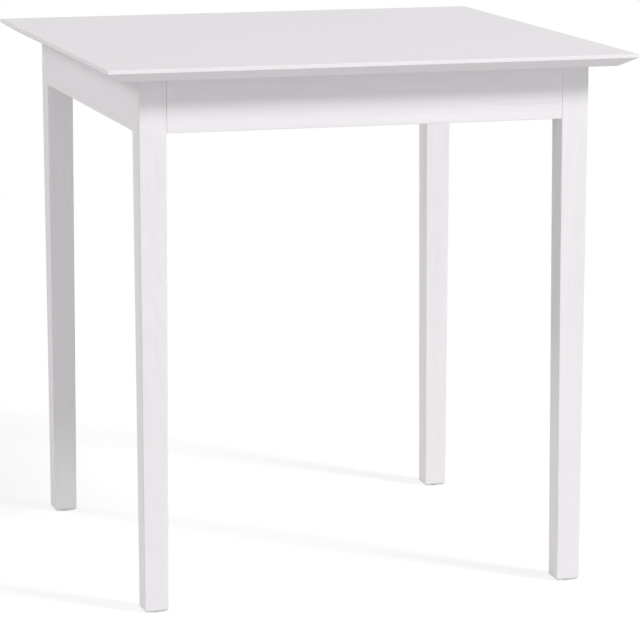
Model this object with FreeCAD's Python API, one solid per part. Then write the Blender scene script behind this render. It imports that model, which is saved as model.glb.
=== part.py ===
import FreeCAD, Part
import math
import os

# Square dining table: a bevelled top on a knock-down frame of four tapered legs and four aprons.
# Sizes are in millimetres. The origin lies on the floor under the middle of the top, with +X to
# the right along the front and +Y to the back.

# Overall size
TOP_SIDE = 750.0
TABLE_HEIGHT = 760.0
OVERHANG = 53.5

# Top: a narrow upright edge over a long bevel that thins the rim
TOP_THICKNESS = 18.0
EDGE_BAND = 5.0
BEVEL_RUN = 22.0
TOP_ARRIS = 0.8
TOP_CORNER = 1.0

# Legs: square and straight behind the aprons, tapered on all four faces below them
LEG_SIDE = 39.0
FOOT_SIDE = 34.0
LEG_ARRIS = 1.4
FOOT_CHAMFER = 2.5
BOLT_FLAT = 10.0
BOLT_FLAT_STOP = 8.0

# Aprons, flush with the outer faces of the legs
APRON_HEIGHT = 75.0
APRON_THICKNESS = 18.0
APRON_ARRIS = 0.8

# Glides nailed under the feet
GLIDE_DIAMETER = 20.0
GLIDE_THICKNESS = 2.0
GLIDE_CHAMFER = 0.8
GLIDE_PIN_DIAMETER = 2.5
GLIDE_PIN_LENGTH = 14.0

# Corner brackets: bent plates, hooked into saw kerfs in two aprons
BRACKET_STEEL = 2.0
BRACKET_HEIGHT = 50.0
BRACKET_GAP = 18.0
BRACKET_WING = 30.0
BRACKET_BEND = 1.5
HOOK_DEPTH = 8.0
BRACKET_CORNER = 4.0

# Hanger bolts with their washers and nuts
BOLT_DIAMETER = 8.0
BOLT_COVER = 12.0
BOLT_POINT = 7.0
BOLT_END = 6.0
BOLT_CHAMFER = 1.0
WASHER_DIAMETER = 16.0
WASHER_THICKNESS = 1.6
NUT_WIDTH = 13.0
NUT_HEIGHT = 6.5

# Pan-head wood screws with a cross recess
SCREW_DIAMETER = 4.0
SCREW_HEAD_DIAMETER = 8.0
SCREW_HEAD_HEIGHT = 2.8
SCREW_HEAD_RIM = 1.0
SCREW_HEAD_FLAT = 5.0
SCREW_POINT = 4.0
SCREW_COVER = 5.0
RECESS_LENGTH = 4.4
RECESS_WIDTH = 1.1
RECESS_DEPTH = 1.5
BRACKET_SCREW_PITCH = 30.0

# Clips that hold the top down, each with a tongue in a groove of the apron
CLIP_STEEL = 1.6
CLIP_WIDTH = 20.0
CLIP_SPACING = 260.0
CLIP_TONGUE = 7.0
CLIP_RISER_GAP = 4.0
CLIP_PLATE = 24.0
CLIP_BEND = 1.0
CLIP_SCREW_INSET = 10.0
GROOVE_DROP = 11.0

# Clearances
WOOD_FIT = 0.1
HOLE_PLAY = 0.4
SAW_PLAY = 0.6
HOLE_RELIEF = 1.0

# How close an edge lies to where it is looked for
EDGE_TOLERANCE = 0.01

# Places that follow from the sizes above
ORIGIN = FreeCAD.Vector(0, 0, 0)
UP = FreeCAD.Vector(0, 0, 1)
INWARD = FreeCAD.Vector(1, 1, 0).normalize()
DIAGONAL = math.sqrt(2)
FRAME_SIDE = TOP_SIDE - 2 * OVERHANG
FRAME_EDGE = -FRAME_SIDE / 2
APRON_LENGTH = FRAME_SIDE - 2 * LEG_SIDE
TOP_UNDERSIDE = TABLE_HEIGHT - TOP_THICKNESS
APRON_BOTTOM = TOP_UNDERSIDE - APRON_HEIGHT
APRON_FACE = FRAME_EDGE + APRON_THICKNESS
LEG_CENTRE = FreeCAD.Vector(FRAME_EDGE + LEG_SIDE / 2, FRAME_EDGE + LEG_SIDE / 2, 0)
BRACKET_BOTTOM = APRON_BOTTOM + (APRON_HEIGHT - BRACKET_HEIGHT) / 2
BOLT_LEVEL = BRACKET_BOTTOM + BRACKET_HEIGHT / 2
FRAME_CORNER = FreeCAD.Vector(FRAME_EDGE, FRAME_EDGE, 0)
GROOVE_TOP = TOP_UNDERSIDE - GROOVE_DROP

# Places on a corner's diagonal, measured inwards from the frame's outer corner
LEG_FLAT_AT = (2 * LEG_SIDE - BOLT_FLAT) / DIAGONAL
WEB_AT = LEG_FLAT_AT + BRACKET_GAP
WASHER_AT = WEB_AT + BRACKET_STEEL
NUT_AT = WASHER_AT + WASHER_THICKNESS
BOLT_END_AT = NUT_AT + NUT_HEIGHT + BOLT_END

# Places along an apron, measured from the frame's outer corner
WING_START = WEB_AT * DIAGONAL - APRON_THICKNESS
WING_END = WING_START + BRACKET_WING
WING_SCREWS = WING_START + BRACKET_WING / 2
WING_SCREW_LEVELS = (BOLT_LEVEL - BRACKET_SCREW_PITCH / 2, BOLT_LEVEL + BRACKET_SCREW_PITCH / 2)
CLIP_PLACES = (-CLIP_SPACING / 2, CLIP_SPACING / 2)

# Quarter turns about the middle of the table, counted from the front
SIDES = ("front", "right", "back", "left")
CORNERS = ("front_left", "front_right", "back_right", "back_left")


def quarter_turned(shape, quarter):
    """The shape turned about the middle of the table by that many right angles."""
    turned = shape.copy()
    turned.rotate(ORIGIN, UP, 90 * quarter)
    return turned


def aimed(shape, place, direction):
    """The shape with its own origin at a place and its own Z axis along a direction."""
    moved = shape.copy()
    moved.Placement = FreeCAD.Placement(place, FreeCAD.Rotation(UP, direction))
    return moved


def on_diagonal(distance):
    """A point at bolt level on the front left corner's diagonal."""
    return FRAME_CORNER + INWARD * distance + UP * BOLT_LEVEL


def rod(diameter, length):
    """A plain cylinder up the Z axis, also used as a drill."""
    return Part.makeCylinder(diameter / 2, length)


def lines(points):
    """Straight edges from point to point in the XZ plane."""
    corners = [FreeCAD.Vector(x, 0, z) for x, z in points]
    return [Part.makeLine(a, b) for a, b in zip(corners, corners[1:])]


def lathed(edges):
    """The solid that a closed outline sweeps about the Z axis."""
    return Part.Face(Part.Wire(edges)).revolve(ORIGIN, UP, 360)


def rounded_square(side, radius, level):
    """A square outline with rounded corners, centred on the Z axis at a level."""
    half = side / 2
    flat = half - radius
    middle = flat + radius / DIAGONAL
    edge = Part.makeLine(FreeCAD.Vector(-flat, -half, level), FreeCAD.Vector(flat, -half, level))
    ends = (FreeCAD.Vector(flat, -half, level), FreeCAD.Vector(half, -flat, level))
    arc = Part.Arc(ends[0], FreeCAD.Vector(middle, -middle, level), ends[1]).toShape()
    outline = []
    for quarter in range(4):
        outline.append(quarter_turned(edge, quarter))
        outline.append(quarter_turned(arc, quarter))
    return Part.Wire(outline)


def right_offset(path, distance):
    """The path moved sideways to its right, with mitred corners."""
    normals = []
    for start, end in zip(path, path[1:]):
        along = (end - start).normalize()
        normals.append(FreeCAD.Vector(along.y, -along.x, 0))
    moved = [path[0] + normals[0] * distance]
    for corner, before, after in zip(path[1:], normals, normals[1:]):
        both = before + after
        moved.append(corner + both * (2 * distance / both.dot(both)))
    moved.append(path[-1] + normals[-1] * distance)
    return moved


def bent_sheet(path, thickness, width, bend):
    """A strip of sheet that stands on the XY plane along a path, with its thickness to the right.

    Each bend has the given inside radius, and the outside one is larger by the sheet.
    """
    other = right_offset(path, thickness)
    outline = Part.makePolygon(path + other[::-1] + path[:1])
    strip = Part.Face(outline).extrude(UP * width)
    inside = []
    outside = []
    for index in range(1, len(path) - 1):
        before = path[index] - path[index - 1]
        after = path[index + 1] - path[index]
        to_left = before.cross(after).z > 0
        inside.append(path[index] if to_left else other[index])
        outside.append(other[index] if to_left else path[index])
    for corners, radius in ((inside, bend), (outside, bend + thickness)):
        strip = strip.makeFillet(radius, upright_edges(strip, corners))
    return strip


def upright_edges(shape, corners):
    """The edges of a shape that stand on the given corners of the XY plane."""
    chosen = []
    for edge in shape.Edges:
        box = edge.BoundBox
        upright = max(box.XLength, box.YLength) < EDGE_TOLERANCE
        foot = FreeCAD.Vector(box.XMin, box.YMin, 0)
        if upright and any(foot.isEqual(corner, EDGE_TOLERANCE) for corner in corners):
            chosen.append(edge)
    return chosen


def make_tabletop():
    """The top, with its rim bevelled from below and pilot holes for the clip screws."""
    bevel_top = TABLE_HEIGHT - EDGE_BAND
    outlines = [rounded_square(TOP_SIDE - 2 * BEVEL_RUN, TOP_CORNER, TOP_UNDERSIDE),
                rounded_square(TOP_SIDE, TOP_CORNER, bevel_top),
                rounded_square(TOP_SIDE, TOP_CORNER, TABLE_HEIGHT)]
    top = Part.makeLoft(outlines, True, True)
    rim = [edge for edge in top.Edges if edge.BoundBox.ZMin > bevel_top + EDGE_BAND / 2]
    top = top.makeFillet(TOP_ARRIS, rim)
    pilot = rod(SCREW_DIAMETER + 2 * WOOD_FIT, clip_screw_bite() + HOLE_RELIEF)
    holes = []
    for quarter in range(4):
        for place in CLIP_PLACES:
            holes.append(quarter_turned(aimed(pilot, clip_screw_place(place), UP), quarter))
    return top.cut(Part.makeCompound(holes))


def make_leg():
    """The front left leg, drilled for its hanger bolt and glide pin."""
    foot = GLIDE_THICKNESS
    outlines = [rounded_square(FOOT_SIDE - 2 * FOOT_CHAMFER, LEG_ARRIS, foot),
                rounded_square(FOOT_SIDE, LEG_ARRIS, foot + FOOT_CHAMFER),
                rounded_square(LEG_SIDE, LEG_ARRIS, APRON_BOTTOM),
                rounded_square(LEG_SIDE, LEG_ARRIS, TOP_UNDERSIDE)]
    leg = Part.makeLoft(outlines, True, True)
    leg.translate(LEG_CENTRE)
    bolt_hole = rod(BOLT_DIAMETER + 2 * WOOD_FIT, LEG_FLAT_AT - BOLT_COVER + 2 * HOLE_RELIEF)
    pin_hole = rod(GLIDE_PIN_DIAMETER + 2 * WOOD_FIT, GLIDE_PIN_LENGTH + HOLE_RELIEF)
    leg = leg.cut(bolt_flat_waste())
    leg = leg.cut(aimed(bolt_hole, on_diagonal(BOLT_COVER - HOLE_RELIEF), INWARD))
    return leg.cut(aimed(pin_hole, LEG_CENTRE + UP * foot, UP))


def bolt_flat_waste():
    """What is planed off a leg's inner corner so that the bolt enters a flat face."""
    bottom = APRON_BOTTOM + BOLT_FLAT_STOP
    block = Part.makeBox(LEG_SIDE, 2 * LEG_SIDE, TOP_UNDERSIDE - bottom)
    block.translate(FreeCAD.Vector(0, -LEG_SIDE, 0))
    block.rotate(ORIGIN, UP, 45)
    block.translate(FRAME_CORNER + INWARD * LEG_FLAT_AT + UP * bottom)
    return block


def make_apron():
    """The front apron, grooved for the top clips and sawn and drilled for its two brackets."""
    start = FreeCAD.Vector(-APRON_LENGTH / 2, FRAME_EDGE, APRON_BOTTOM)
    board = Part.makeBox(APRON_LENGTH, APRON_THICKNESS, APRON_HEIGHT, start)
    low_edges = [edge for edge in board.Edges
                 if edge.BoundBox.XLength > APRON_LENGTH / 2 and edge.BoundBox.ZMax < BOLT_LEVEL]
    board = board.makeFillet(APRON_ARRIS, low_edges)
    groove_width = CLIP_STEEL + SAW_PLAY
    groove = Part.makeBox(APRON_LENGTH, CLIP_TONGUE + SAW_PLAY, groove_width)
    groove.translate(FreeCAD.Vector(-APRON_LENGTH / 2, APRON_FACE - CLIP_TONGUE - SAW_PLAY,
                                    GROOVE_TOP - groove_width))
    kerf = bracket_kerf()
    pilot = rod(SCREW_DIAMETER + 2 * WOOD_FIT, bracket_screw_bite() + HOLE_RELIEF)
    outward = FreeCAD.Vector(0, -1, 0)
    one_end = [kerf]
    for level in WING_SCREW_LEVELS:
        place = FreeCAD.Vector(FRAME_EDGE + WING_SCREWS, APRON_FACE, level)
        one_end.append(aimed(pilot, place, outward))
    cuts = Part.makeCompound(one_end)
    other_end = cuts.mirror(ORIGIN, FreeCAD.Vector(1, 0, 0))
    return board.cut(groove).cut(cuts).cut(other_end)


def bracket_kerf():
    """The saw cut for a hook near the front apron's left end, its mouth eased for the bend."""
    near = FRAME_EDGE + WING_END
    far = near + BRACKET_STEEL + SAW_PLAY
    end = APRON_FACE - HOOK_DEPTH - SAW_PLAY
    mouth = [(near - BRACKET_BEND, APRON_FACE), (near, APRON_FACE - BRACKET_BEND), (near, end),
             (far, end), (far, APRON_FACE)]
    corners = [FreeCAD.Vector(x, y, APRON_BOTTOM) for x, y in mouth]
    return Part.Face(Part.makePolygon(corners + corners[:1])).extrude(UP * APRON_HEIGHT)


def make_glide():
    """A glide under the front left leg, with the pin that holds it."""
    rim = GLIDE_DIAMETER / 2
    pin = GLIDE_PIN_DIAMETER / 2
    tip = GLIDE_THICKNESS + GLIDE_PIN_LENGTH
    outline = lines([(0, 0), (rim - GLIDE_CHAMFER, 0), (rim, GLIDE_CHAMFER), (rim, GLIDE_THICKNESS),
                     (pin, GLIDE_THICKNESS), (pin, tip - GLIDE_PIN_DIAMETER), (0, tip), (0, 0)])
    return aimed(lathed(outline), LEG_CENTRE, UP)


def make_corner_bracket():
    """The front left bracket: a web across the corner, two wings on the aprons and two hooks."""
    face = APRON_THICKNESS
    tip = face - HOOK_DEPTH
    path = [FreeCAD.Vector(WING_END, tip, 0), FreeCAD.Vector(WING_END, face, 0),
            FreeCAD.Vector(WING_START, face, 0), FreeCAD.Vector(face, WING_START, 0),
            FreeCAD.Vector(face, WING_END, 0), FreeCAD.Vector(tip, WING_END, 0)]
    bracket = bent_sheet(path, BRACKET_STEEL, BRACKET_HEIGHT, BRACKET_BEND)
    tip_edges = [edge for edge in bracket.Edges if is_hook_tip(edge, tip)]
    bracket = bracket.makeChamfer(BRACKET_CORNER, tip_edges)
    bracket.translate(FRAME_CORNER + UP * BRACKET_BOTTOM)
    bolt_hole = rod(BOLT_DIAMETER + 2 * HOLE_PLAY, BRACKET_STEEL)
    screw_hole = rod(SCREW_DIAMETER + 2 * HOLE_PLAY, BRACKET_STEEL)
    holes = [aimed(bolt_hole, on_diagonal(WEB_AT), INWARD)]
    for place, direction in bracket_screw_places():
        holes.append(aimed(screw_hole, place, direction))
    return bracket.cut(Part.makeCompound(holes))


def is_hook_tip(edge, tip):
    """Whether an edge crosses the sheet at the free end of a hook, above or below."""
    box = edge.BoundBox
    across = max(box.XLength, box.YLength)
    level = box.ZLength < EDGE_TOLERANCE
    at_tip = abs(box.XMax - tip) < EDGE_TOLERANCE or abs(box.YMax - tip) < EDGE_TOLERANCE
    return level and at_tip and abs(across - BRACKET_STEEL) < EDGE_TOLERANCE


def bracket_screw_places():
    """Where the front left bracket's screws seat on its wings, and the way they are driven."""
    seat = APRON_THICKNESS + BRACKET_STEEL
    places = []
    for level in WING_SCREW_LEVELS:
        lift = UP * level
        front = FRAME_CORNER + FreeCAD.Vector(WING_SCREWS, seat, 0) + lift
        left = FRAME_CORNER + FreeCAD.Vector(seat, WING_SCREWS, 0) + lift
        places.append((front, FreeCAD.Vector(0, -1, 0)))
        places.append((left, FreeCAD.Vector(-1, 0, 0)))
    return places


def make_hanger_bolt():
    """The front left hanger bolt: a pointed end in the leg and a bolt end through the bracket."""
    radius = BOLT_DIAMETER / 2
    length = BOLT_END_AT - BOLT_COVER
    outline = lines([(0, 0), (radius, BOLT_POINT), (radius, length - BOLT_CHAMFER),
                     (radius - BOLT_CHAMFER, length), (0, length), (0, 0)])
    return aimed(lathed(outline), on_diagonal(BOLT_COVER), INWARD)


def make_washer():
    """The front left washer, flat on the bracket's web."""
    disc = rod(WASHER_DIAMETER, WASHER_THICKNESS)
    ring = disc.cut(rod(BOLT_DIAMETER + 2 * HOLE_PLAY, WASHER_THICKNESS))
    return aimed(ring, on_diagonal(WASHER_AT), INWARD)


def make_nut():
    """The front left nut: a hexagon with its corners turned off at both ends."""
    reach = NUT_WIDTH / math.sqrt(3)
    corners = [FreeCAD.Vector(reach, 0, 0)]
    for sixth in range(6):
        corners.append(FreeCAD.Rotation(UP, 60 * (sixth + 1)).multVec(corners[0]))
    blank = Part.Face(Part.makePolygon(corners)).extrude(UP * NUT_HEIGHT)
    crown = (reach - NUT_WIDTH / 2) * math.tan(math.radians(30))
    turned = lathed(lines([(0, 0), (NUT_WIDTH / 2, 0), (reach, crown), (reach, NUT_HEIGHT - crown),
                           (NUT_WIDTH / 2, NUT_HEIGHT), (0, NUT_HEIGHT), (0, 0)]))
    nut = blank.common(turned).cut(rod(BOLT_DIAMETER + 2 * WOOD_FIT, NUT_HEIGHT))
    return aimed(nut, on_diagonal(NUT_AT), INWARD)


def make_screw(length):
    """A pan-head screw up the Z axis, with the underside of its head at zero."""
    head = SCREW_HEAD_DIAMETER / 2
    shank = SCREW_DIAMETER / 2
    outline = lines([(0, -SCREW_HEAD_HEIGHT), (SCREW_HEAD_FLAT / 2, -SCREW_HEAD_HEIGHT),
                     (head, -SCREW_HEAD_RIM), (head, 0), (shank, 0), (shank, length - SCREW_POINT),
                     (0, length), (0, -SCREW_HEAD_HEIGHT)])
    screw = lathed(outline)
    slot = Part.makeBox(RECESS_LENGTH, RECESS_WIDTH, RECESS_DEPTH)
    slot.translate(FreeCAD.Vector(-RECESS_LENGTH / 2, -RECESS_WIDTH / 2, -SCREW_HEAD_HEIGHT))
    return screw.cut(slot.fuse(quarter_turned(slot, 1)))


def bracket_screw_bite():
    """How far a bracket screw enters its apron."""
    return APRON_THICKNESS - SCREW_COVER


def make_bracket_screws():
    """The four screws of the front left bracket."""
    screw = make_screw(bracket_screw_bite() + BRACKET_STEEL)
    return Part.makeCompound([aimed(screw, place, way) for place, way in bracket_screw_places()])


def make_top_clip(place):
    """A clip on the front apron: its tongue in the groove, its plate under the top."""
    riser = CLIP_RISER_GAP
    path = [FreeCAD.Vector(-CLIP_TONGUE, -GROOVE_DROP, 0), FreeCAD.Vector(riser, -GROOVE_DROP, 0),
            FreeCAD.Vector(riser, 0, 0), FreeCAD.Vector(riser + CLIP_PLATE, 0, 0)]
    clip = bent_sheet(path, CLIP_STEEL, CLIP_WIDTH, CLIP_BEND)
    clip.rotate(ORIGIN, FreeCAD.Vector(1, 1, 1), 120)
    clip.translate(FreeCAD.Vector(place - CLIP_WIDTH / 2, APRON_FACE, TOP_UNDERSIDE))
    screw_hole = rod(SCREW_DIAMETER + 2 * HOLE_PLAY, CLIP_STEEL)
    return clip.cut(aimed(screw_hole, clip_screw_place(place) - UP * CLIP_STEEL, UP))


def clip_screw_place(place):
    """Where a clip screw on the front side enters the top."""
    return FreeCAD.Vector(place, APRON_FACE + CLIP_RISER_GAP + CLIP_PLATE - CLIP_SCREW_INSET, TOP_UNDERSIDE)


def clip_screw_bite():
    """How far a clip screw enters the top."""
    return TOP_THICKNESS - SCREW_COVER


def make_clip_screws():
    """The screws of the front side's clips."""
    screw = make_screw(clip_screw_bite() + CLIP_STEEL)
    return Part.makeCompound([aimed(screw, clip_screw_place(place) - UP * CLIP_STEEL, UP)
                              for place in CLIP_PLACES])


def make_table():
    """Every piece of the table by name."""
    pieces = {"tabletop": make_tabletop()}
    at_corners = {"leg": make_leg(), "glide": make_glide(), "corner_bracket": make_corner_bracket(),
                  "hanger_bolt": make_hanger_bolt(), "washer": make_washer(), "nut": make_nut(),
                  "bracket_screws": make_bracket_screws()}
    at_sides = {"apron": make_apron(), "clip_screws": make_clip_screws()}
    for number, place in enumerate(CLIP_PLACES, start=1):
        at_sides["top_clip_%d" % number] = make_top_clip(place)
    for names, shapes in ((CORNERS, at_corners), (SIDES, at_sides)):
        for piece, shape in shapes.items():
            for quarter, name in enumerate(names):
                pieces["%s_%s" % (piece, name)] = quarter_turned(shape, quarter)
    return pieces


os.makedirs("parts", exist_ok=True)
for node, solid in make_table().items():
    solid.exportStep("parts/%s.step" % node)
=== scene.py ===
"""Looks of a square dining table: white lacquered wood, plated fittings and a plain studio.

Lengths are in metres. The table stands on the floor with its middle over the origin, its front
towards -Y and its right side towards +X.
"""

import logging
import math
from dataclasses import dataclass, field
from enum import Enum
from typing import Any, Mapping, Optional, Sequence, Union

import bpy
from mathutils import Euler, Matrix, Vector


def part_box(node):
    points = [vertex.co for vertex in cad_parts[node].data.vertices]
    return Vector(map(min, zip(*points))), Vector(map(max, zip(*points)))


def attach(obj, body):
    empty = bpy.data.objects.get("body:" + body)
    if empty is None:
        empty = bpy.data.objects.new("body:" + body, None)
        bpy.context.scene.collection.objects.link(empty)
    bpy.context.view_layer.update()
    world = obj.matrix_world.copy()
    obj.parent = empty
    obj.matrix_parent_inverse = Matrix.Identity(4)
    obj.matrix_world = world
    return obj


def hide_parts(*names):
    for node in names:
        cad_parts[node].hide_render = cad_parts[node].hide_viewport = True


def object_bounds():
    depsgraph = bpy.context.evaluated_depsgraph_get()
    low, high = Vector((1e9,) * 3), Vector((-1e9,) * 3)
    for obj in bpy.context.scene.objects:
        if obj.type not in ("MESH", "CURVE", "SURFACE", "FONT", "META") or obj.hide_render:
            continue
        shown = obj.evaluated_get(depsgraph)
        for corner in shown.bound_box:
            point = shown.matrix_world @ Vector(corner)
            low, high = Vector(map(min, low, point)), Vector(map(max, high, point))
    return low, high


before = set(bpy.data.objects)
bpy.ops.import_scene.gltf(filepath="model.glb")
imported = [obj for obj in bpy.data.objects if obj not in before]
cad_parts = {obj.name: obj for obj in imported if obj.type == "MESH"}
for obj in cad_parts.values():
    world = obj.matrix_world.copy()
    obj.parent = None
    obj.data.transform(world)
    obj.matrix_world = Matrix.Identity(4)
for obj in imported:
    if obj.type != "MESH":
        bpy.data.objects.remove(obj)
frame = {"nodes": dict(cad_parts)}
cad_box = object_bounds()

BODY = "root"
MILLIMETRE = 0.001
TURN = 2 * math.pi

Colour = tuple[float, float, float, float]
Triple = tuple[float, float, float]
Operand = Union["Signal", float]

WHITE: Colour = (1.0, 1.0, 1.0, 1.0)
UPWARDS: Triple = (0.0, 0.0, 1.0)
LEVEL: Triple = (1.0, 1.0, 0.0)

log = logging.getLogger("table")


class Corner(Enum):
    """The table's corners, each with its way out from the middle along X and Y."""

    FRONT_LEFT = (-1, -1)
    FRONT_RIGHT = (1, -1)
    BACK_RIGHT = (1, 1)
    BACK_LEFT = (-1, 1)

    @property
    def label(self) -> str:
        """The corner as the frame's names end."""
        return self.name.lower()

    @property
    def inward(self) -> Vector:
        """The level direction from this corner to the middle of the table."""
        return Vector((-self.value[0], -self.value[1], 0)).normalized()


class Side(Enum):
    """The table's sides, each with its way out from the middle along X and Y."""

    FRONT = (0, -1)
    RIGHT = (1, 0)
    BACK = (0, 1)
    LEFT = (-1, 0)

    @property
    def label(self) -> str:
        """The side as the frame's names end."""
        return self.name.lower()

    @property
    def runs_along(self) -> int:
        """The index of the level axis that this side runs along."""
        return 1 if self.value[0] else 0


class Grain(Enum):
    """The way the grain of a board runs, as the turn that stands it upright."""

    ALONG_X = (0.0, -math.pi / 2, 0.0)
    ALONG_Y = (math.pi / 2, 0.0, 0.0)
    ALONG_Z = (0.0, 0.0, 0.0)


@dataclass(frozen=True)
class Signal:
    """An output of a node, which adds Math nodes where it is used in an expression."""

    graph: "NodeGraph"
    node: bpy.types.Node
    port: Union[int, str] = 0

    @property
    def socket(self) -> bpy.types.NodeSocket:
        """The output socket itself."""
        return self.node.outputs[self.port]

    def output(self, port: Union[int, str]) -> "Signal":
        """Another output of the same node."""
        return Signal(self.graph, self.node, port)

    def __add__(self, other: Operand) -> "Signal":
        """This plus the other."""
        return self.graph.math("ADD", self, other)

    def __radd__(self, other: Operand) -> "Signal":
        """The other plus this."""
        return self.graph.math("ADD", other, self)

    def __sub__(self, other: Operand) -> "Signal":
        """This less the other."""
        return self.graph.math("SUBTRACT", self, other)

    def __rsub__(self, other: Operand) -> "Signal":
        """The other less this."""
        return self.graph.math("SUBTRACT", other, self)

    def __mul__(self, other: Operand) -> "Signal":
        """This times the other."""
        return self.graph.math("MULTIPLY", self, other)

    def __rmul__(self, other: Operand) -> "Signal":
        """The other times this."""
        return self.graph.math("MULTIPLY", other, self)

    def __truediv__(self, other: Operand) -> "Signal":
        """This divided by the other."""
        return self.graph.math("DIVIDE", self, other)

    def __rtruediv__(self, other: Operand) -> "Signal":
        """The other divided by this."""
        return self.graph.math("DIVIDE", other, self)

    def __pow__(self, other: Operand) -> "Signal":
        """This to the power of the other."""
        return self.graph.math("POWER", self, other)

    def __rpow__(self, other: Operand) -> "Signal":
        """The other to the power of this."""
        return self.graph.math("POWER", other, self)

    def __lt__(self, other: Operand) -> "Signal":
        """1 where this is under the other, and else 0."""
        return self.graph.math("LESS_THAN", self, other)

    def __gt__(self, other: Operand) -> "Signal":
        """1 where this is over the other, and else 0."""
        return self.graph.math("GREATER_THAN", self, other)

    def __abs__(self) -> "Signal":
        """This without its sign."""
        return self.graph.math("ABSOLUTE", self)


class NodeGraph:
    """A node tree that is filled from Python expressions."""

    def __init__(self, tree: bpy.types.NodeTree) -> None:
        """Starts on an empty tree."""
        self.tree = tree

    def add(
        self,
        kind: str,
        settings: Optional[Mapping[str, Any]] = None,
        sockets: Optional[Mapping[Union[int, str], Any]] = None,
        port: Union[int, str] = 0,
    ) -> Signal:
        """Adds a node of any kind.

        Args:
            kind: Blender's name for the node's type.
            settings: The node's own properties, set before its sockets.
            sockets: Values or signals by input. A list links every signal in it.
            port: The output that is handed back.

        Returns:
            The chosen output of the new node.
        """
        node = self.tree.nodes.new(kind)
        for name, value in (settings or {}).items():
            setattr(node, name, value)
        for key, value in (sockets or {}).items():
            for item in value if isinstance(value, list) else [value]:
                self._feed(node.inputs[key], item)
        return Signal(self, node, port)

    def _feed(self, socket: bpy.types.NodeSocket, value: Any) -> None:
        """Links a signal to a socket, or sets a plain value on it."""
        if isinstance(value, Signal):
            self.tree.links.new(value.socket, socket)
        else:
            socket.default_value = value

    def math(self, operation: str, *values: Operand) -> Signal:
        """A Math node on signals or numbers."""
        return self.add("ShaderNodeMath", {"operation": operation}, dict(enumerate(values)))

    def clamped(self, value: Operand, low: float = 0.0, high: float = 1.0) -> Signal:
        """A value held between two limits."""
        return self.math("MINIMUM", self.math("MAXIMUM", value, low), high)

    def vector(self, operation: str, *values: Any, port: Union[int, str] = "Vector") -> Signal:
        """A Vector Math node on signals or triples."""
        settings = {"operation": operation}
        return self.add("ShaderNodeVectorMath", settings, dict(enumerate(values)), port)

    def blend(self, factor: Operand, first: Any, second: Any) -> Signal:
        """A colour that goes from the first to the second as the factor goes from 0 to 1."""
        # A Mix node has an A, a B and a Result for each type of value, so these go by number
        sockets = {0: factor, 6: first, 7: second}
        return self.add("ShaderNodeMix", {"data_type": "RGBA"}, sockets, 2)

    def lumps(self, place: Signal, scale: Triple, detail: float = 2.0) -> Signal:
        """Cloudy noise about zero.

        Args:
            place: The coordinates that it is read at.
            scale: How many lumps there are in a metre along each axis.
            detail: How many finer layers are added.

        Returns:
            The noise, mostly between -0.25 and 0.25.
        """
        spread = self.vector("MULTIPLY", place, scale)
        sockets = {"Vector": spread, "Scale": 1.0, "Detail": detail}
        return self.add("ShaderNodeTexNoise", None, sockets) - 0.5


class MaterialGraph(NodeGraph):
    """The nodes of one material."""

    def __init__(self, name: str) -> None:
        """Makes an empty material of that name."""
        self.material = bpy.data.materials.new(name)
        self.material.use_nodes = True
        self.material.node_tree.nodes.clear()
        super().__init__(self.material.node_tree)
        self.place = self.add("ShaderNodeTexCoord", port="Object")

    def relief(self, height: Signal) -> Signal:
        """The normal of a surface with that height in millimetres."""
        return self.add("ShaderNodeBump", None, {"Distance": MILLIMETRE, "Height": height})

    def surface(self, **sockets: Any) -> bpy.types.Material:
        """Ends the material in one shader.

        Args:
            **sockets: The shader's inputs, with an underscore for each space in a name.

        Returns:
            The finished material.
        """
        named = {name.replace("_", " "): value for name, value in sockets.items()}
        return self.finish(self.add("ShaderNodeBsdfPrincipled", None, named))

    def finish(self, shader: Signal) -> bpy.types.Material:
        """Ends the material in a shader and hands it back."""
        self.add("ShaderNodeOutputMaterial", None, {"Surface": shader})
        return self.material


@dataclass(frozen=True)
class Board:
    """How a board lies in the tree that it was sawn from.

    heart is where the middle of the tree passes, from the middle of the board, and lean is how far
    the tree leans from the board's length, both with the grain standing upright.
    """

    middle: Vector
    grain: Grain
    heart: Vector
    lean: Vector

    @staticmethod
    def heart_at(distance: float, angle: float, rise: float) -> Vector:
        """The middle of a tree, at a distance and angle about the grain and a rise along it."""
        return Vector((math.cos(angle) * distance, math.sin(angle) * distance, rise))

    @property
    def turn(self) -> Matrix:
        """The turn from the table's axes to the tree's."""
        return Euler(self.lean).to_matrix() @ Euler(self.grain.value).to_matrix()

    @property
    def shift(self) -> Vector:
        """The move that follows the turn and puts the tree's heart on the upright axis."""
        return -self.heart - self.turn @ self.middle


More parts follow.
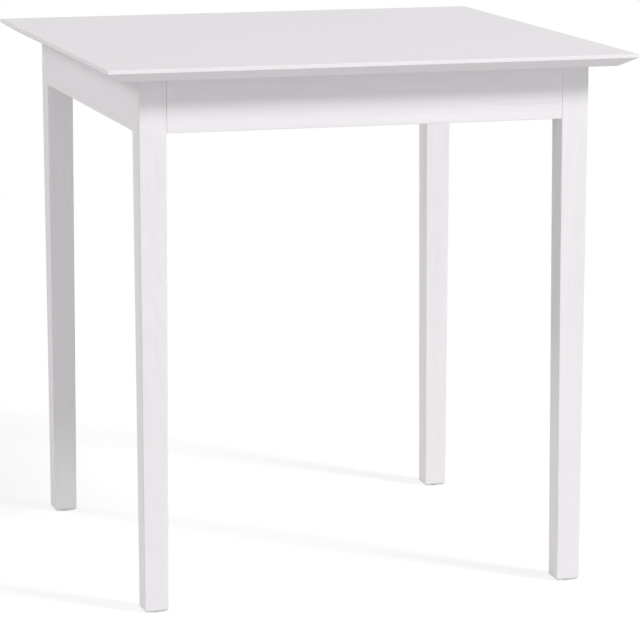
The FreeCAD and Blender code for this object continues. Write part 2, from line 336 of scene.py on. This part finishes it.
@dataclass(frozen=True)
class SatinLacquer:
    """White satin lacquer on solid wood, with the grain just telling through the film.

    Scales are in lumps for each metre, the last of three along the grain, and heights in
    millimetres. Shares say how much each feature of the wood adds to the colour of the grain.
    """

    white: Colour = (0.845, 0.820, 0.845, 1.0)
    in_grain: Colour = (0.755, 0.730, 0.752, 1.0)
    tell: float = 1.0
    ground: float = 0.14
    ring_pitch: float = 0.0062
    ring_share: float = 0.26
    ring_height: float = 0.010
    wander_scale: Triple = (17.0, 17.0, 3.0)
    wander_reach: float = 5.0
    stretch_scale: Triple = (26.0, 26.0, 3.0)
    stretch_gain: float = 2.6
    fibre_scale: Triple = (520.0, 520.0, 6.0)
    fibre_share: float = 0.30
    fibre_height: float = 0.008
    band_scale: Triple = (75.0, 75.0, 2.6)
    band_share: float = 0.75
    peel_scale: float = 260.0
    peel_height: float = 0.006
    roughness: float = 0.56
    fibre_roughness: float = 0.10
    peel_roughness: float = 0.12
    specular: float = 0.22

    def material(self, name: str, board: Board) -> bpy.types.Material:
        """Makes the finish for one board.

        Args:
            name: The material's name.
            board: How the board lies in its tree.

        Returns:
            The material.
        """
        graph = MaterialGraph(name)
        turn = board.turn.to_euler()
        turned = {"Vector": graph.place, "Location": board.shift, "Rotation": turn}
        wood = graph.add("ShaderNodeMapping", {"vector_type": "POINT"}, turned)
        rings = self._rings(graph, wood)
        fibres = graph.lumps(wood, self.fibre_scale, detail=3.0)
        bands = graph.lumps(wood, self.band_scale)
        peel = graph.lumps(graph.place, (self.peel_scale,) * 3, detail=1.0)
        features = rings * self.ring_share + fibres * self.fibre_share + bands * self.band_share
        shown = graph.clamped((features + self.ground) * self.tell)
        height = rings * self.ring_height + fibres * self.fibre_height + peel * self.peel_height
        return graph.surface(
            Base_Color=graph.blend(shown, self.white, self.in_grain),
            Roughness=self.roughness + fibres * self.fibre_roughness + peel * self.peel_roughness,
            Specular_IOR_Level=self.specular,
            Normal=graph.relief(height),
        )

    def _rings(self, graph: MaterialGraph, wood: Signal) -> Signal:
        """The late wood of the growth rings, from 0 to 1, strong in some stretches only."""
        across = graph.vector("MULTIPLY", wood, LEVEL)
        distance = graph.vector("LENGTH", across, port="Value")
        wander = graph.lumps(wood, self.wander_scale) * self.wander_reach
        wave = graph.math("SINE", (distance / self.ring_pitch + wander) * TURN) * 0.5 + 0.5
        stretch = graph.lumps(wood, self.stretch_scale, detail=1.0) * self.stretch_gain + 0.5
        return wave * wave * graph.clamped(stretch)


@dataclass(frozen=True)
class ZincPlate:
    """Rolled steel under bright zinc, with a faint blue and straw cast.

    Scales are in lumps for each metre, and heights in millimetres.
    """

    blue: Colour = (0.59, 0.615, 0.65, 1.0)
    straw: Colour = (0.66, 0.64, 0.60, 1.0)
    cloud_scale: float = 150.0
    cloud_gain: float = 2.4
    cloud_roughness: float = 0.25
    roughness: float = 0.34
    streak_scale: Triple = (140.0, 140.0, 2600.0)
    streak_height: float = 0.004
    streak_roughness: float = 0.30

    def material(self, name: str) -> bpy.types.Material:
        """Makes the plated finish under that name."""
        graph = MaterialGraph(name)
        cloud = graph.lumps(graph.place, (self.cloud_scale,) * 3, detail=3.0)
        streaks = graph.lumps(graph.place, self.streak_scale, detail=3.0)
        uneven = streaks * self.streak_roughness + cloud * self.cloud_roughness
        cast = graph.clamped(cloud * self.cloud_gain + 0.5)
        return graph.surface(
            Base_Color=graph.blend(cast, self.blue, self.straw),
            Metallic=1.0,
            Roughness=uneven + self.roughness,
            Normal=graph.relief(streaks * self.streak_height),
        )


@dataclass(frozen=True)
class MouldedPlastic:
    """Off-white moulded plastic with a fine pebbled skin and some scuffs.

    Scales are in lumps for each metre, and heights in millimetres.
    """

    pale: Colour = (0.74, 0.73, 0.71, 1.0)
    worn: Colour = (0.60, 0.59, 0.57, 1.0)
    roughness: float = 0.55
    pebble_scale: float = 1800.0
    pebble_height: float = 0.02
    pebble_roughness: float = 0.20
    scuff_scale: float = 420.0
    scuff_gain: float = 2.4
    scuff_ground: float = 0.3
    scuff_roughness: float = 0.15

    def material(self, name: str) -> bpy.types.Material:
        """Makes the moulded finish under that name."""
        graph = MaterialGraph(name)
        pebble = graph.lumps(graph.place, (self.pebble_scale,) * 3)
        scuff = graph.lumps(graph.place, (self.scuff_scale,) * 3, detail=4.0)
        scuffed = graph.clamped(scuff * self.scuff_gain + self.scuff_ground)
        uneven = pebble * self.pebble_roughness + scuffed * self.scuff_roughness
        return graph.surface(
            Base_Color=graph.blend(scuffed, self.pale, self.worn),
            Roughness=uneven + self.roughness,
            Normal=graph.relief(pebble * self.pebble_height),
        )


@dataclass(frozen=True)
class Seat:
    """Where a fastener bears, and the way it is driven."""

    place: Vector
    aim: Vector


class ShapeTree(NodeGraph):
    """A geometry tree with named sizes that sets one shape on every seat, along the seat's aim."""

    AIM = "aim"
    SMOOTH_UNDER = math.radians(32)

    def __init__(self, name: str, sizes: Mapping[str, float]) -> None:
        """Makes the tree and its inputs.

        Args:
            name: The tree's name.
            sizes: Each size's name and usual value.
        """
        super().__init__(bpy.data.node_groups.new(name, "GeometryNodeTree"))
        self.tree.interface.new_socket("Shape", in_out="OUTPUT", socket_type="NodeSocketGeometry")
        self.inputs: dict[str, str] = {}
        self._declare("Seats", "NodeSocketGeometry")
        for size, value in sizes.items():
            self._declare(size, "NodeSocketFloat").default_value = value
        self._declare("Seed", "NodeSocketInt")
        self._declare("Finish", "NodeSocketMaterial")
        self.source = self.add("NodeGroupInput")

    def _declare(self, name: str, kind: str) -> bpy.types.NodeTreeInterfaceSocket:
        """Adds a named input and keeps its identifier."""
        socket = self.tree.interface.new_socket(name, in_out="INPUT", socket_type=kind)
        self.inputs[name] = socket.identifier
        return socket

    def size(self, name: str) -> Signal:
        """A named input of the tree."""
        return self.source.output(name)

    def bar(self, sides: int, rings: int, radius: Operand, low: Operand, high: Operand) -> Signal:
        """A closed round bar up the Z axis.

        Args:
            sides: How many corners it has round.
            rings: How many stretches it has along.
            radius: Its radius.
            low: The level of its lower end.
            high: The level of its upper end.

        Returns:
            The mesh.
        """
        depth = self.math("SUBTRACT", high, low)
        centre = self.math("ADD", high, low) * 0.5
        sockets = {"Vertices": sides, "Side Segments": rings, "Radius": radius, "Depth": depth}
        mesh = self.add("GeometryNodeMeshCylinder", {"fill_type": "NGON"}, sockets)
        return self.moved(mesh, self.add("ShaderNodeCombineXYZ", None, {"Z": centre}))

    def moved(self, mesh: Signal, by: Signal) -> Signal:
        """The mesh shifted as a whole."""
        return self.add("GeometryNodeTransform", None, {"Geometry": mesh, "Translation": by})

    def polar(self) -> tuple[Signal, Signal, Signal]:
        """Each point's angle about the Z axis in turns, its distance from it and its level."""
        place = self.add("GeometryNodeInputPosition")
        axes = self.add("ShaderNodeSeparateXYZ", None, {0: place})
        angle = self.math("ARCTAN2", axes.output("Y"), axes.output("X")) / TURN
        across = self.vector("MULTIPLY", place, LEVEL)
        return angle, self.vector("LENGTH", across, port="Value"), axes.output("Z")

    def turned(self, mesh: Signal, radius: Signal, level: Signal) -> Signal:
        """The mesh with each point at a new radius and level, at its own angle."""
        angle = self.polar()[0] * TURN
        across, along = self.math("COSINE", angle) * radius, self.math("SINE", angle) * radius
        place = self.add("ShaderNodeCombineXYZ", None, {"X": across, "Y": along, "Z": level})
        return self.add("GeometryNodeSetPosition", None, {"Geometry": mesh, "Position": place})

    def tooth(self, pitch: Signal, width: float) -> Signal:
        """A thread on each point of a bar.

        Args:
            pitch: The thread's pitch.
            width: The share of the pitch that the tooth takes at its root.

        Returns:
            The height of the thread there: 1 on the crest and 0 in the root.
        """
        angle, _, level = self.polar()
        ridge = 1 - abs(self.math("FRACT", level / pitch - angle) * 2 - 1)
        return self.clamped((ridge - (1 - width)) / width)

    def combined(self, operation: str, first: Optional[Signal], others: list[Signal]) -> Signal:
        """The union, common part or difference of closed meshes."""
        sockets: dict[str, Any] = {"Mesh 2": others}
        if first is not None:
            sockets["Mesh 1"] = first
        settings = {"operation": operation, "solver": "EXACT"}
        return self.add("GeometryNodeMeshBoolean", settings, sockets)

    def close(self, shape: Signal) -> "ShapeTree":
        """Ends the tree: sets the shape on the seats, makes it real and gives it its finish.

        Args:
            shape: The shape on the Z axis, with its seat at zero and its aim upwards.

        Returns:
            This tree.
        """
        crease = self.add("GeometryNodeInputMeshEdgeAngle") < self.SMOOTH_UNDER
        rounded = self.add("GeometryNodeSetShadeSmooth", {"domain": "FACE"}, {0: shape})
        eased = {0: rounded, "Shade Smooth": crease}
        shaded = self.add("GeometryNodeSetShadeSmooth", {"domain": "EDGE"}, eased)
        aim = self.add(
            "GeometryNodeInputNamedAttribute", {"data_type": "FLOAT_VECTOR"}, {"Name": self.AIM}
        )
        # A Random Value node has limits and a value for each type, so these go by number too
        spin_range = {2: 0.0, 3: TURN, "Seed": self.size("Seed")}
        spin = self.add("FunctionNodeRandomValue", {"data_type": "FLOAT"}, spin_range, 1)
        axis = {"Axis": UPWARDS, "Angle": spin}
        about = self.add("FunctionNodeAxisAngleToRotation", None, axis)
        aligned = self.add(
            "FunctionNodeAlignRotationToVector", {"axis": "Z"}, {"Rotation": about, "Vector": aim}
        )
        placed = self.add(
            "GeometryNodeInstanceOnPoints",
            None,
            {"Points": self.size("Seats"), "Instance": shaded, "Rotation": aligned},
        )
        real = self.add("GeometryNodeRealizeInstances", None, {"Geometry": placed})
        bare = self.add("GeometryNodeRemoveAttribute", None, {"Geometry": real, "Name": self.AIM})
        dressed = self.add(
            "GeometryNodeSetMaterial", None, {"Geometry": bare, "Material": self.size("Finish")}
        )
        self.add("NodeGroupOutput", None, {0: dressed})
        return self

    def grow(
        self,
        name: str,
        seats: Sequence[Seat],
        finish: bpy.types.Material,
        seed: int,
        **sizes: float,
    ) -> bpy.types.Object:
        """Runs the tree on seats and keeps the result as a plain mesh.

        Args:
            name: The new piece's name.
            seats: Where the shapes go.
            finish: The material of the piece.
            seed: Fixes how each shape is spun about its own axis.
            **sizes: Sizes that differ from the usual, with an underscore for each space in a name.

        Returns:
            The piece, at the origin with its place in its mesh.
        """
        points = bpy.data.meshes.new(name + "_seats")
        points.from_pydata([seat.place for seat in seats], [], [])
        aims = points.attributes.new(self.AIM, "FLOAT_VECTOR", "POINT")
        for item, seat in zip(aims.data, seats):
            item.vector = seat.aim
        carrier = linked(bpy.data.objects.new(points.name, points))
        maker = carrier.modifiers.new(self.tree.name, "NODES")
        maker.node_group = self.tree
        maker[self.inputs["Seed"]] = seed
        maker[self.inputs["Finish"]] = finish
        for size, value in sizes.items():
            maker[self.inputs[size.replace("_", " ")]] = value
        evaluated = carrier.evaluated_get(bpy.context.evaluated_depsgraph_get())
        mesh = bpy.data.meshes.new_from_object(evaluated)
        carrier.modifiers.remove(maker)
        bpy.data.objects.remove(carrier)
        bpy.data.meshes.remove(points)
        return linked(bpy.data.objects.new(name, mesh))


def linked(thing: bpy.types.Object) -> bpy.types.Object:
    """Puts an object in the scene and hands it back."""
    bpy.context.scene.collection.objects.link(thing)
    return thing


@dataclass(frozen=True)
class CrossHeadScrew:
    """A pan-head wood screw with a cross recess, seated under its head."""

    length: float = 0.015
    shank: float = 0.004
    core: float = 0.0028
    head: float = 0.008
    head_height: float = 0.0028
    head_rim: float = 0.0009
    pitch: float = 0.0018
    point: float = 0.004
    recess_span: float = 0.0044
    recess_width: float = 0.0011
    recess_depth: float = 0.0015
    recess_draft: float = 0.35
    tooth_width: float = 0.53
    blunt: float = 0.04
    dome_power: float = 2.6
    shank_sides: int = 20
    shank_steps: int = 84
    head_sides: int = 40
    head_steps: int = 8

    def tree(self) -> ShapeTree:
        """Makes the screw's tree, with its length as a size of each piece."""
        sizes = {
            "Length": self.length,
            "Shank Diameter": self.shank,
            "Core Diameter": self.core,
            "Thread Pitch": self.pitch,
            "Point Length": self.point,
            "Head Diameter": self.head,
            "Head Height": self.head_height,
            "Rim Height": self.head_rim,
            "Recess Span": self.recess_span,
            "Recess Width": self.recess_width,
            "Recess Depth": self.recess_depth,
        }
        tree = ShapeTree("cross_head_screw", sizes)
        body = tree.combined("UNION", None, [self._head(tree), self._shank(tree)])
        return tree.close(tree.combined("DIFFERENCE", body, self._recess(tree)))

    def _shank(self, tree: ShapeTree) -> Signal:
        """The threaded shank, which starts inside the head."""
        length, rim = tree.size("Length"), tree.size("Rim Height")
        half = tree.size("Shank Diameter") * 0.5
        bar = tree.bar(self.shank_sides, self.shank_steps, half, rim * -0.5, length)
        _, radius, level = tree.polar()
        core = tree.size("Core Diameter") * 0.5
        tooth = tree.tooth(tree.size("Thread Pitch"), self.tooth_width)
        taper = tree.clamped((length - level) / tree.size("Point Length"), self.blunt)
        return tree.turned(bar, (core + (radius - core) * tooth) * taper, level)

    def _head(self, tree: ShapeTree) -> Signal:
        """The head, a short rim under a low dome."""
        rim = tree.size("Rim Height")
        half = tree.size("Head Diameter") * 0.5
        sockets = {
            "Vertices": self.head_sides,
            "Fill Segments": self.head_steps,
            "Radius": half,
            "Depth": rim,
        }
        disc = tree.add("GeometryNodeMeshCylinder", {"fill_type": "TRIANGLE_FAN"}, sockets)
        drop = tree.add("ShaderNodeCombineXYZ", None, {"Z": rim * -0.5})
        disc = tree.moved(disc, drop)
        _, radius, level = tree.polar()
        rise = (tree.size("Head Height") - rim) * (1 - (radius / half) ** self.dome_power)
        outside = level < rim * -0.5
        dome = tree.add("ShaderNodeCombineXYZ", None, {"Z": rise * outside * -1.0})
        return tree.add("GeometryNodeSetPosition", None, {"Geometry": disc, "Offset": dome})

    def _recess(self, tree: ShapeTree) -> list[Signal]:
        """The two tapered bars that cut the cross."""
        span, width = tree.size("Recess Span"), tree.size("Recess Width")
        depth, top = tree.size("Recess Depth"), tree.size("Head Height")
        bars = []
        for sides in ({"X": span, "Y": width}, {"X": width, "Y": span}):
            block = tree.add("ShaderNodeCombineXYZ", None, {**sides, "Z": depth * 2.0})
            cube = tree.add("GeometryNodeMeshCube", None, {"Size": block})
            cube = tree.moved(cube, tree.add("ShaderNodeCombineXYZ", None, {"Z": top * -1.0}))
            _, radius, level = tree.polar()
            inner = level > top * -1.0
            bars.append(tree.turned(cube, radius * (1 - inner * self.recess_draft), level))
        return bars


@dataclass(frozen=True)
class HangerBolt:
    """A bolt with a wood thread and a point at one end and a machine thread at the other."""

    length: float = 0.07
    wood_length: float = 0.034
    diameter: float = 0.008
    wood_pitch: float = 0.0036
    wood_core: float = 0.0056
    machine_pitch: float = 0.00125
    machine_core: float = 0.0066
    point: float = 0.007
    end_chamfer: float = 0.001
    wood_tooth: float = 0.45
    machine_tooth: float = 0.92
    blunt: float = 0.04
    sides: int = 24
    steps: int = 448

    def tree(self) -> ShapeTree:
        """Makes the bolt's tree, with its length and the length of its wood thread as sizes."""
        sizes = {
            "Length": self.length,
            "Wood Length": self.wood_length,
            "Diameter": self.diameter,
            "Wood Pitch": self.wood_pitch,
            "Wood Core": self.wood_core,
            "Machine Pitch": self.machine_pitch,
            "Machine Core": self.machine_core,
            "Point Length": self.point,
            "End Chamfer": self.end_chamfer,
        }
        tree = ShapeTree("hanger_bolt", sizes)
        length = tree.size("Length")
        half = tree.size("Diameter") * 0.5
        bar = tree.bar(self.sides, self.steps, half, 0.0, length)
        _, _, level = tree.polar()
        in_wood = level < tree.size("Wood Length")
        sharp = tree.tooth(tree.size("Wood Pitch"), self.wood_tooth)
        even = tree.tooth(tree.size("Machine Pitch"), self.machine_tooth)
        wood_core, machine_core = tree.size("Wood Core") * 0.5, tree.size("Machine Core") * 0.5
        wood = wood_core + (half - wood_core) * sharp
        machine = machine_core + (half - machine_core) * even
        threaded = wood * in_wood + machine * (1 - in_wood)
        taper = tree.clamped(level / tree.size("Point Length"), self.blunt)
        nose = half - tree.size("End Chamfer") + (length - level)
        return tree.close(tree.turned(bar, tree.math("MINIMUM", threaded * taper, nose), level))


@dataclass(frozen=True)
class HexNut:
    """A hexagon nut with its corners turned off at both ends."""

    height: float = 0.0065
    width: float = 0.013
    bore: float = 0.0082
    flats: int = 6
    crown_slope: float = math.tan(math.radians(30))
    crown_start: float = 0.97
    sides: int = 48
    steps: int = 26
    bore_sides: int = 32

    def tree(self) -> ShapeTree:
        """Makes the nut's tree, with its height as a size of each piece."""
        sizes = {
            "Height": self.height,
            "Width": self.width,
            "Bore": self.bore,
            "Crown Slope": self.crown_slope,
        }
        tree = ShapeTree("hexagon_nut", sizes)
        height = tree.size("Height")
        flat = tree.size("Width") * 0.5
        bar = tree.bar(self.sides, self.steps, flat, 0.0, height)
        angle, _, level = tree.polar()
        sector = tree.math("WRAP", angle * TURN, -math.pi / self.flats, math.pi / self.flats)
        hexagon = flat / tree.math("COSINE", sector)
        from_end = tree.math("MINIMUM", level, height - level)
        crown = flat * self.crown_start + from_end / tree.size("Crown Slope")
        blank = tree.turned(bar, tree.math("MINIMUM", hexagon, crown), level)
        past = height * 0.5
        bore = tree.size("Bore") * 0.5
        drill = tree.bar(self.bore_sides, 1, bore, past * -1.0, height + past)
        return tree.close(tree.combined("DIFFERENCE", blank, [drill]))


@dataclass
class Bench:
    """Where pieces are fetched from the frame and dressed, and new pieces set in their place."""

    nodes: Mapping[str, bpy.types.Object]
    zinc: bpy.types.Material = field(default_factory=lambda: ZincPlate().material("bright_zinc"))

    def middle(self, node: str) -> Vector:
        """The middle of a node's box."""
        low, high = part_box(node)
        return (low + high) / 2

    def span(self, node: str, direction: Vector) -> tuple[float, float]:
        """How far a node reaches along a direction, from the origin."""
        reach = [point.co.dot(direction) for point in self.nodes[node].data.vertices]
        return min(reach), max(reach)

    def dress(self, node: str, finish: bpy.types.Material) -> None:
        """Gives a node that the frame shows its finish."""
        for slot in self.nodes[node].material_slots:
            slot.material = finish
        log.info("%s wears %s", node, finish.name)

    def seat(self, piece: bpy.types.Object, stands_for: str) -> None:
        """Puts a new plated piece under the table's body and hides the node that it stands for."""
        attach(piece, BODY)
        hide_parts(stands_for)
        log.info("%s stands for %s", piece.name, stands_for)


@dataclass
class Tabletop:
    """The square top with its bevelled rim."""

    bench: Bench
    node: str = "tabletop"
    heart: Triple = (0.16, -0.11, 0.0)
    lean: Triple = (0.012, 0.030, 0.0)
    finish: SatinLacquer = SatinLacquer(tell=0.35, ring_pitch=0.008)

    def build(self) -> None:
        """Dresses the top with its grain along the front."""
        middle = self.bench.middle(self.node)
        board = Board(middle, Grain.ALONG_X, Vector(self.heart), Vector(self.lean))
        self.bench.dress(self.node, self.finish.material("lacquer_top", board))


@dataclass
class LegSet:
    """The four tapered legs, each sawn from another part of the tree."""

    bench: Bench
    heart_distance: float = 0.060
    heart_step: float = 0.013
    heart_turn: float = math.radians(97)
    heart_rise: float = 0.31
    lean: float = 0.055
    finish: SatinLacquer = SatinLacquer()

    def build(self) -> None:
        """Dresses each leg with its grain upright."""
        for index, corner in enumerate(Corner):
            node = "leg_" + corner.label
            away = self.heart_distance + self.heart_step * index
            angle = self.heart_turn * (index + 1)
            heart = Board.heart_at(away, angle, self.heart_rise * index)
            lean = Vector((math.sin(angle) * self.lean, math.cos(angle) * self.lean, 0.0))
            board = Board(self.bench.middle(node), Grain.ALONG_Z, heart, lean)
            self.bench.dress(node, self.finish.material("lacquer_" + node, board))


@dataclass
class ApronFrame:
    """The four aprons between the legs."""

    bench: Bench
    heart_distance: float = 0.085
    heart_step: float = 0.015
    heart_turn: float = math.radians(37)
    heart_rise: float = 0.27
    lean: float = 0.022
    finish: SatinLacquer = SatinLacquer(tell=0.7)

    def build(self) -> None:
        """Dresses each apron with its grain along its length."""
        for index, side in enumerate(Side):
            node = "apron_" + side.label
            grain = Grain.ALONG_Y if side.runs_along else Grain.ALONG_X
            away = self.heart_distance + self.heart_step * index
            heart = Board.heart_at(away, self.heart_turn, self.heart_rise * index)
            lean = Vector((self.lean, -self.lean * (index + 1) / len(Side), 0.0))
            board = Board(self.bench.middle(node), grain, heart, lean)
            self.bench.dress(node, self.finish.material("lacquer_" + node, board))


@dataclass
class CornerFittings:
    """At each corner a bracket with its screws, and a bolt with its washer and nut."""

    bench: Bench
    bracket_steel: float = 0.002
    screw: CrossHeadScrew = CrossHeadScrew()
    bolt: HangerBolt = HangerBolt()
    nut: HexNut = HexNut()

    def build(self) -> None:
        """Dresses the bracket and washer of each corner, and makes its bolt, nut and screws."""
        bolts, nuts, screws = self.bolt.tree(), self.nut.tree(), self.screw.tree()
        for seed, corner in enumerate(Corner):
            self.bench.dress("corner_bracket_" + corner.label, self.bench.zinc)
            self.bench.dress("washer_" + corner.label, self.bench.zinc)
            self._bolt(bolts, corner, seed)
            self._nut(nuts, corner, seed)
            self._screws(screws, corner, seed)

    def _on_bolt(self, corner: Corner, distance: float) -> Vector:
        """The point of a corner's bolt axis at that distance along its inward direction."""
        middle = self.bench.middle("hanger_bolt_" + corner.label)
        inward = corner.inward
        return middle + inward * (distance - middle.dot(inward))

    def _bolt(self, tree: ShapeTree, corner: Corner, seed: int) -> None:
        """Makes a corner's hanger bolt, with its wood thread as deep as the leg."""
        node = "hanger_bolt_" + corner.label
        start, end = self.bench.span(node, corner.inward)
        leg_end = self.bench.span("leg_" + corner.label, corner.inward)[1]
        seat = Seat(self._on_bolt(corner, start), corner.inward)
        sizes = {"Length": end - start, "Wood_Length": leg_end - start}
        piece = tree.grow("threaded_bolt_" + corner.label, [seat], self.bench.zinc, seed, **sizes)
        self.bench.seat(piece, node)

    def _nut(self, tree: ShapeTree, corner: Corner, seed: int) -> None:
        """Makes a corner's nut, which bears on the washer."""
        node = "nut_" + corner.label
        start, end = self.bench.span(node, corner.inward)
        seat = Seat(self._on_bolt(corner, start), corner.inward)
        name = "hexagon_nut_" + corner.label
        piece = tree.grow(name, [seat], self.bench.zinc, seed, Height=end - start)
        self.bench.seat(piece, node)

    def _screws(self, tree: ShapeTree, corner: Corner, seed: int) -> None:
        """Makes a bracket's four screws, two into each of its aprons and all of one length."""
        node = "bracket_screws_" + corner.label
        low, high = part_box(node)
        half = self.screw.head / 2
        levels = (low.z + half, high.z - half)
        seats = []
        for axis, way in enumerate(corner.value):
            other = 1 - axis
            across = corner.value[other]
            beside = (low if across > 0 else high)[other] + half * across
            face = self._apron_face(axis, way) - way * self.bracket_steel
            length = abs((high if way > 0 else low)[axis] - face)
            for level in levels:
                place = Vector((0.0, 0.0, level))
                place[axis], place[other] = face, beside
                aim = Vector((0.0, 0.0, 0.0))
                aim[axis] = way
                seats.append(Seat(place, aim))
        name = "bracket_fixings_" + corner.label
        piece = tree.grow(name, seats, self.bench.zinc, seed, Length=length)
        self.bench.seat(piece, node)

    def _apron_face(self, axis: int, way: int) -> float:
        """Where the inner face of the apron on that way out lies."""
        side = next(s for s in Side if s.value[axis] == way)
        low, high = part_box("apron_" + side.label)
        return (low if way > 0 else high)[axis]


@dataclass
class TopClips:
    """The clips that hold the top down, with their screws."""

    bench: Bench
    clips_a_side: int = 2
    screw: CrossHeadScrew = CrossHeadScrew()

    def build(self) -> None:
        """Dresses the clips of each side and makes their screws."""
        screws = self.screw.tree()
        for seed, side in enumerate(Side):
            for number in range(1, self.clips_a_side + 1):
                self.bench.dress(f"top_clip_{number}_{side.label}", self.bench.zinc)
            node = "clip_screws_" + side.label
            low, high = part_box(node)
            seat_level = low.z + self.screw.head_height
            half = self.screw.head / 2
            seats = []
            for end in (low[side.runs_along] + half, high[side.runs_along] - half):
                place = self.bench.middle(node)
                place.z = seat_level
                place[side.runs_along] = end
                seats.append(Seat(place, Vector(UPWARDS)))
            name = "clip_fixings_" + side.label
            piece = screws.grow(name, seats, self.bench.zinc, seed, Length=high.z - seat_level)
            self.bench.seat(piece, node)


@dataclass
class FootGlides:
    """The glides nailed under the feet."""

    bench: Bench
    finish: MouldedPlastic = MouldedPlastic()

    def build(self) -> None:
        """Dresses the four glides."""
        moulded = self.finish.material("moulded_glide")
        for corner in Corner:
            self.bench.dress("glide_" + corner.label, moulded)


@dataclass(frozen=True)
class SoftLamp:
    """A round soft lamp, far off, that shines on the middle of the table.

    bearing is its turn from straight in front towards the right, and height its angle above level.
    """

    name: str
    bearing: float
    height: float
    power: float
    distance: float = 14.0
    width: float = 3.1

    def build(self, middle: Vector) -> None:
        """Sets the lamp up, out of sight of the camera and of gloss.

        Args:
            middle: The middle of the table.
        """
        light = bpy.data.lights.new(self.name, "AREA")
        light.shape = "DISK"
        light.size = self.width
        light.energy = self.power
        lamp = linked(bpy.data.objects.new(self.name, light))
        level = math.cos(self.height)
        right, front = math.sin(self.bearing) * level, math.cos(self.bearing) * level
        away = Vector((right, -front, math.sin(self.height)))
        lamp.location = middle + away * self.distance
        lamp.rotation_euler = (-away).to_track_quat("-Z", "Y").to_euler()
        lamp.visible_camera = False
        lamp.visible_glossy = False


@dataclass
class Studio:
    """A white floor, a sky brighter to the left and in front, two soft lamps and the camera."""

    floor_reach: float = 30.0
    floor_bounce: Colour = (0.74, 0.74, 0.74, 1.0)
    floor_shade: Colour = (0.30, 0.30, 0.30, 1.0)
    floor_glow: float = 0.77
    fade_start: float = 1.2
    fade_width: float = 2.4
    sky_even: float = 0.085
    sky_left: float = 0.615
    sky_front: float = 0.51
    seen_sky: float = 1.0
    key_lamp: SoftLamp = SoftLamp(
        "key_lamp", bearing=math.radians(44), height=math.radians(37.8), power=1387.0
    )
    fill_lamp: SoftLamp = SoftLamp(
        "fill_lamp", bearing=math.radians(-132), height=math.radians(25.8), power=491.0
    )
    camera_place: Triple = (-1.322, -4.609, 1.243)
    camera_yaw: float = math.radians(16.3)
    camera_pitch: float = math.radians(10.56)
    focal_pixels: float = 3300.0
    image_width: float = 640.0
    sensor_width: float = 36.0

    def build(self) -> None:
        """Sets the scene round the table."""
        bpy.context.scene.view_settings.view_transform = "Standard"
        self._floor()
        self._sky()
        low, high = cad_box
        for lamp in (self.key_lamp, self.fill_lamp):
            lamp.build((low + high) / 2)
        self._camera()

    @staticmethod
    def _seen(graph: NodeGraph) -> Signal:
        """1 for rays that show the surroundings: to the camera, off gloss and through glass."""
        path = graph.add("ShaderNodeLightPath")
        camera, gloss = path.output("Is Camera Ray"), path.output("Is Glossy Ray")
        return graph.clamped(camera + gloss + path.output("Is Transmission Ray"))

    def _floor(self) -> None:
        """A wide floor that takes the table's shadow, is white far off and is clear from below."""
        reach = self.floor_reach
        mesh = bpy.data.meshes.new("floor")
        corners = [(-reach, -reach, 0), (reach, -reach, 0), (reach, reach, 0), (-reach, reach, 0)]
        mesh.from_pydata(corners, [], [(0, 1, 2, 3)])
        floor = linked(bpy.data.objects.new("floor", mesh))
        graph = MaterialGraph("floor_white")
        bounce = graph.add("ShaderNodeBsdfDiffuse", None, {"Color": self.floor_bounce})
        shade = graph.add("ShaderNodeBsdfDiffuse", None, {"Color": self.floor_shade})
        glow = graph.add("ShaderNodeEmission", None, {"Strength": self.floor_glow})
        near = graph.add("ShaderNodeAddShader", None, {0: shade, 1: glow})
        plain = graph.add("ShaderNodeEmission", None, {"Strength": self.seen_sky})
        distance = graph.vector("LENGTH", graph.place, port="Value")
        far = graph.clamped((distance - self.fade_start) / self.fade_width)
        white = graph.add("ShaderNodeMixShader", None, {0: far, 1: near, 2: plain})
        shown = graph.add("ShaderNodeMixShader", None, {0: self._seen(graph), 1: bounce, 2: white})
        camera = graph.add("ShaderNodeLightPath", port="Is Camera Ray")
        below = graph.add("ShaderNodeNewGeometry", port="Backfacing") * camera
        clear = graph.add("ShaderNodeBsdfTransparent")
        whole = graph.add("ShaderNodeMixShader", None, {0: below, 1: shown, 2: clear})
        mesh.materials.append(graph.finish(whole))

    def _sky(self) -> None:
        """A sky that is brightest to the left and in front, and white where it is seen."""
        world = bpy.data.worlds.new("studio")
        world.use_nodes = True
        world.node_tree.nodes.clear()
        graph = NodeGraph(world.node_tree)
        way = graph.add("ShaderNodeTexCoord", port="Generated")
        axes = graph.add("ShaderNodeSeparateXYZ", None, {0: way})
        to_left = graph.math("MAXIMUM", axes.output("X") * -1.0, 0.0)
        to_front = graph.math("MAXIMUM", axes.output("Y") * -1.0, 0.0)
        strength = to_left * self.sky_left + to_front * self.sky_front + self.sky_even
        light, shown = (
            graph.add("ShaderNodeBackground", None, {"Color": WHITE, "Strength": value})
            for value in (strength, self.seen_sky)
        )
        both = graph.add("ShaderNodeMixShader", None, {0: self._seen(graph), 1: light, 2: shown})
        graph.add("ShaderNodeOutputWorld", None, {"Surface": both})
        bpy.context.scene.world = world

    def _camera(self) -> None:
        """The camera, in front of the table's left corner and looking down a little."""
        data = bpy.data.cameras.new("camera")
        data.sensor_width = self.sensor_width
        data.lens = self.focal_pixels / self.image_width * self.sensor_width
        camera = linked(bpy.data.objects.new("camera", data))
        camera.location = self.camera_place
        camera.rotation_euler = (math.pi / 2 - self.camera_pitch, 0.0, -self.camera_yaw)
        bpy.context.scene.camera = camera


def main() -> None:
    """Builds the table's looks piece by piece, and then the studio."""
    logging.basicConfig(level=logging.INFO, format="%(name)s: %(message)s")
    bench = Bench(frame["nodes"])
    for assembly in (Tabletop, LegSet, ApronFrame, CornerFittings, TopClips, FootGlides):
        assembly(bench).build()
    Studio().build()


if __name__ == "__main__":
    main()
